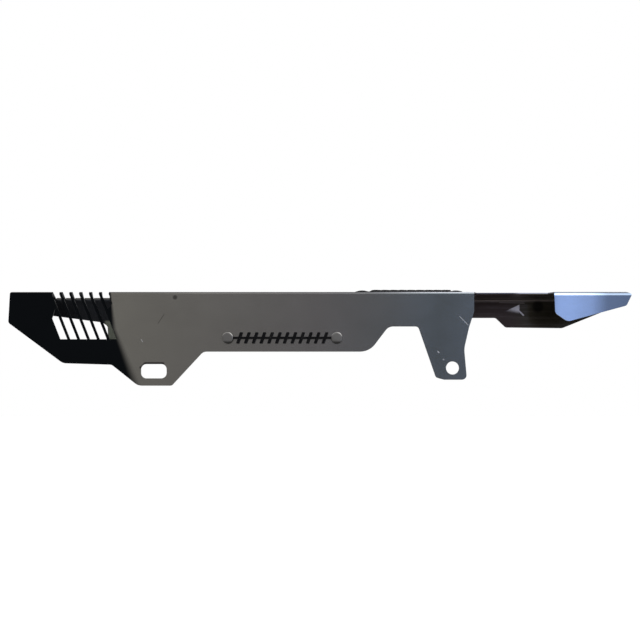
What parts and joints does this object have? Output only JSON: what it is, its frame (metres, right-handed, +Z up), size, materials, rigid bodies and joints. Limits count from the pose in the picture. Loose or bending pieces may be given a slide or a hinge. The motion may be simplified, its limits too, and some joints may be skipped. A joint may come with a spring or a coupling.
{
  "type": "motorcycle chain guard",
  "caption": "Folded stainless motorcycle chain guard with vents over both folds, hexagon cut-outs, two mounting tabs, a raised top badge and a flat side badge, both riveted on.",
  "frame": {"origin": "centre of the rear mounting hole, on the sheet's outer face", "axes": "+X along the guard to its tapered rear end, +Y from the outer side inwards, +Z up"},
  "size_m": [0.4995, 0.0361, 0.0793],
  "materials": {
    "sheet_steel": "worn stainless sheet, half bright",
    "badge_black": "gloss black",
    "badge_silver": "silver faces",
    "bright_rivet": "bright domed head",
    "plain_rivet": "dull flat head"
  },
  "bodies": {
    "root": {"guard_shell": "sheet_steel", "top_badge_base": "badge_black", "top_badge_bars": "badge_silver", "top_badge_front_rivet": "bright_rivet", "top_badge_rear_rivet": "bright_rivet", "side_badge": "badge_black", "side_badge_front_rivet": "plain_rivet", "side_badge_rear_rivet": "plain_rivet"}
  },
  "joints": []
}
